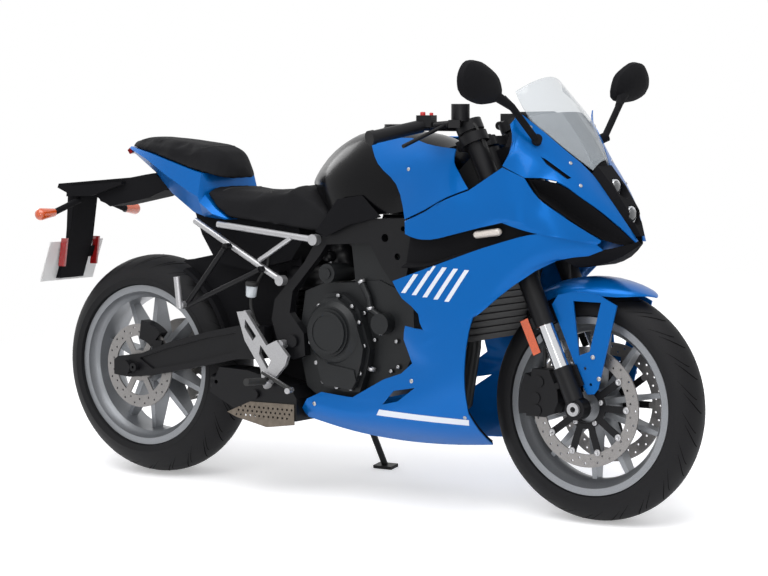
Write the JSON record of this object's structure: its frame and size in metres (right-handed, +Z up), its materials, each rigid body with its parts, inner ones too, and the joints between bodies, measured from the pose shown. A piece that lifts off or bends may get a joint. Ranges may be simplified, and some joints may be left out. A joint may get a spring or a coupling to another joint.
{
  "type": "sport bike",
  "caption": "Faired road sport bike, parked on its side stand, with turning wheels, steering, side stand and hinged filler cap.",
  "frame": {"origin": "on the floor, below the middle of the bounding box of the parked, leaning bike", "axes": "+X towards the front wheel, +Y towards the bike's left (the side it leans to), +Z up"},
  "size_m": [2.1339, 0.9158, 1.2312],
  "materials": {
    "black_metal": "matte black paint",
    "black_plastic": "grained black plastic",
    "blue": "metallic blue gloss",
    "chain": "oiled steel",
    "disc": "drilled brake steel",
    "engine_grey": "satin dark grey paint",
    "exhaust": "heat tinted steel",
    "gloss_black": "gloss black paint",
    "lamp": "clear lens",
    "red_lens": "red lens",
    "rim": "silver satin paint",
    "screen": "clear polycarbonate",
    "seat": "grained seat vinyl",
    "signal": "amber lens",
    "silver": "clear anodised",
    "tyre": "worn rubber",
    "white_plate": "blank white"
  },
  "bodies": {
    "chassis": {"frame": "black_metal", "subframe": "silver", "undertail": "black_plastic", "engine_cases": "engine_grey", "cylinder_block": "engine_grey", "engine_covers": "engine_grey", "radiator": "black_metal", "exhaust_headers": "exhaust", "silencer": "black_metal", "heat_shield": "exhaust", "fuel_tank": "gloss_black", "tank_covers": "blue", "tank_trim": "rim", "fairing_right": "blue", "fairing_left": "blue", "inner_panels": "black_plastic", "nose_sides": "blue", "lamp_panel": "black_plastic", "headlamps": "lamp", "windscreen": "screen", "dash_panel": "black_plastic", "mirrors": "black_plastic", "rider_seat": "seat", "passenger_seat": "seat", "tail_cowl": "blue", "plate_hanger": "black_plastic", "number_plate": "white_plate", "turn_signals": "signal", "tail_lamp": "red_lens", "footrests": "silver", "passenger_pegs": "black_metal", "swingarm": "black_metal", "drive_chain": "chain", "rear_shock": "black_metal", "rear_hugger": "black_plastic", "rear_caliper": "black_metal"},
    "steering": {"fork_legs": "black_metal", "triple_clamps": "black_metal", "handlebars": "black_metal", "front_fender": "blue", "front_calipers": "black_metal", "front_axle": "silver"},
    "front_wheel": {"front_tyre": "tyre", "front_rim": "rim", "front_discs": "disc"},
    "rear_wheel": {"rear_tyre": "tyre", "rear_rim": "rim", "rear_disc": "disc", "rear_sprocket": "chain"},
    "side_stand": {"side_stand": "black_metal"},
    "filler_lid": {"filler_cap": "black_metal"}
  },
  "joints": [
    {"name": "rear_wheel_spin", "type": "hinge", "parent": "chassis", "child": "rear_wheel", "pos_m": [-0.698, -0.12772, 0.31227], "axis": [0, 0.9877, -0.1564], "continuous": true},
    {"name": "steering", "type": "hinge", "parent": "chassis", "child": "steering", "pos_m": [0.46284, -0.04006, 0.86573], "axis": [-0.4226, 0.1418, 0.8951], "range_deg": [-27, 27]},
    {"name": "front_wheel_spin", "type": "hinge", "parent": "steering", "child": "front_wheel", "pos_m": [0.767, -0.13007, 0.29745], "axis": [0, 0.9877, -0.1564], "continuous": true},
    {"name": "side_stand_swing", "type": "hinge", "parent": "chassis", "child": "side_stand", "pos_m": [-0.1155, -0.00365, 0.27743], "axis": [0, 0.9778, 0.2096], "range_deg": [0, 95]},
    {"name": "filler_cap_hinge", "type": "hinge", "parent": "chassis", "child": "filler_lid", "pos_m": [0.1905, -0.019, 0.99871], "axis": [0, 0.9877, -0.1564], "range_deg": [0, 95]}
  ]
}
